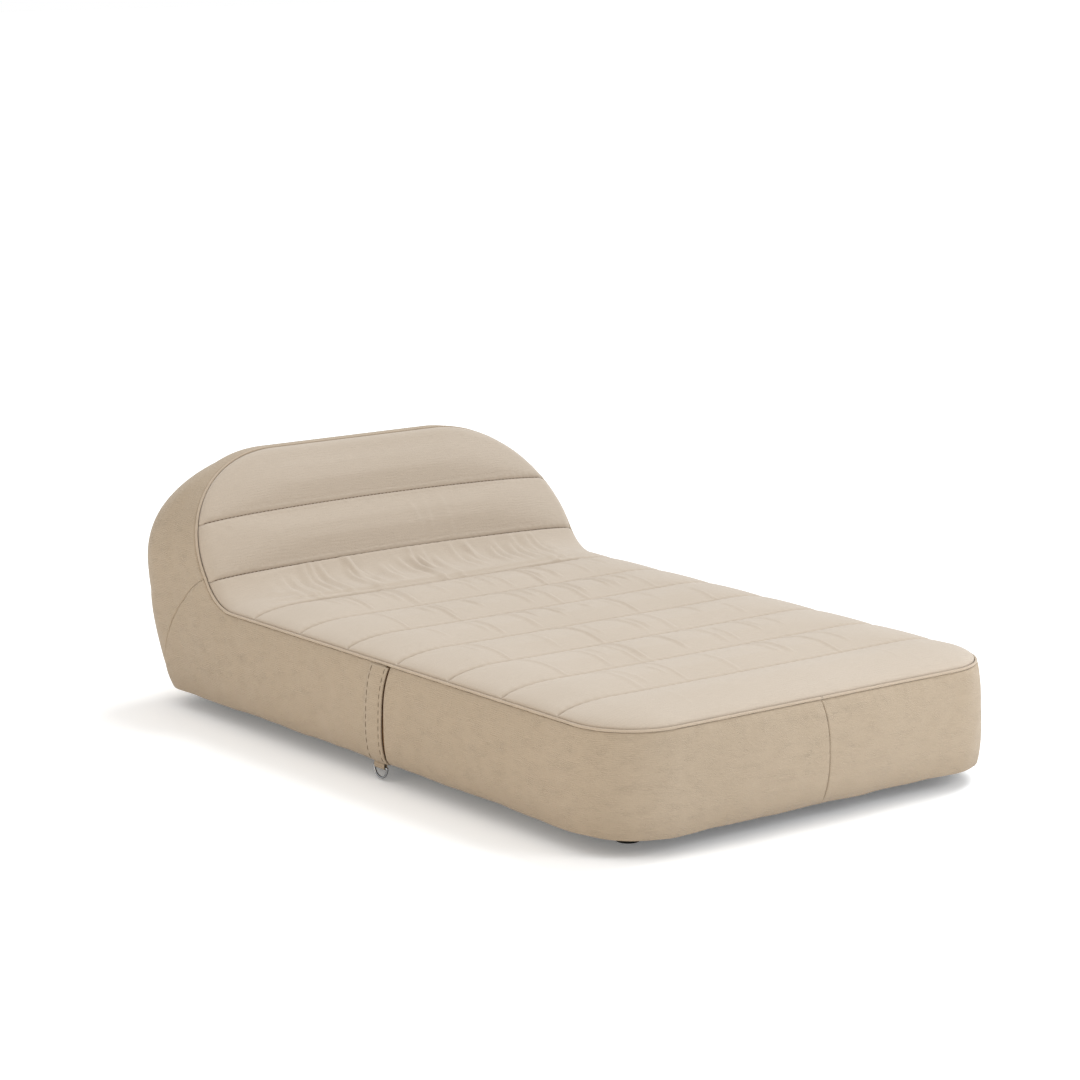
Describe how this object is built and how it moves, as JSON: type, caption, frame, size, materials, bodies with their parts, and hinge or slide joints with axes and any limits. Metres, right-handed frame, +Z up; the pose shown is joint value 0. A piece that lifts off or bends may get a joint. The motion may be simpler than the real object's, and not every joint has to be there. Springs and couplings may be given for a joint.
{
  "type": "upholstered lounger",
  "caption": "Low fabric-covered lounger: a foam block seat with quilted cross strips and a raised, arched head end, piped edges, zips under side flaps and strap rings.",
  "frame": {"origin": "on the floor under the middle of the lounger's overall box", "axes": "+Z up, +Y from the foot end towards the head end, +X to the right when looking from the foot to the head"},
  "size_m": [1.1874, 1.9998, 0.6302],
  "materials": {
    "top_cloth": "matte",
    "side_cloth": "matte",
    "piping_cloth": "matte",
    "foam": "matte",
    "plywood": "matte",
    "dust_cover": "matte",
    "foot_plastic": "matte",
    "zip_tape": "matte",
    "steel": "satin",
    "chrome": "polished"
  },
  "bodies": {
    "lounger": {"base_board": "plywood", "dust_cover_front": "dust_cover", "dust_cover_rear": "dust_cover", "foot_1": "foot_plastic", "foot_2": "foot_plastic", "foot_3": "foot_plastic", "foot_4": "foot_plastic", "foot_5": "foot_plastic", "foot_6": "foot_plastic", "foot_screw_1": "steel", "foot_screw_2": "steel", "foot_screw_3": "steel", "foot_screw_4": "steel", "foot_screw_5": "steel", "foot_screw_6": "steel", "front_band_left": "side_cloth", "front_band_right": "side_cloth", "head_foam": "foam", "head_strip_lower": "top_cloth", "head_strip_upper": "top_cloth", "hood_left": "side_cloth", "hood_right": "side_cloth", "piping": "piping_cloth", "rear_band_left": "side_cloth", "rear_band_right": "side_cloth", "ring_tab_left": "side_cloth", "ring_tab_right": "side_cloth", "seat_foam": "foam", "seat_strip_1": "top_cloth", "seat_strip_2": "top_cloth", "seat_strip_3": "top_cloth", "seat_strip_4": "top_cloth", "seat_strip_5": "top_cloth", "seat_strip_6": "top_cloth", "seat_strip_7": "top_cloth", "seat_strip_8": "top_cloth", "zip_flap_left": "side_cloth", "zip_flap_right": "side_cloth", "zip_front_left": "zip_tape", "zip_front_right": "zip_tape", "zip_rear_left": "zip_tape", "zip_rear_right": "zip_tape"},
    "left_ring": {"ring_left": "chrome"},
    "right_ring": {"ring_right": "chrome"},
    "left_slider": {"zip_slider_left": "steel"},
    "right_slider": {"zip_slider_right": "steel"}
  },
  "joints": [
    {"name": "left_ring_swing", "type": "hinge", "parent": "lounger", "child": "left_ring", "pos_m": [-0.5755, -0.10733, 0.033], "axis": [0, 1, 0], "range_deg": [-95, 110]},
    {"name": "left_slider_run", "type": "slide", "parent": "lounger", "child": "left_slider", "axis": [0, 0, 1], "range_m": [-0.014, 0.172]},
    {"name": "right_ring_swing", "type": "hinge", "parent": "lounger", "child": "right_ring", "pos_m": [0.5755, -0.10733, 0.033], "axis": [0, -1, 0], "range_deg": [-95, 110]},
    {"name": "right_slider_run", "type": "slide", "parent": "lounger", "child": "right_slider", "axis": [0, 0, 1], "range_m": [-0.014, 0.172]}
  ]
}
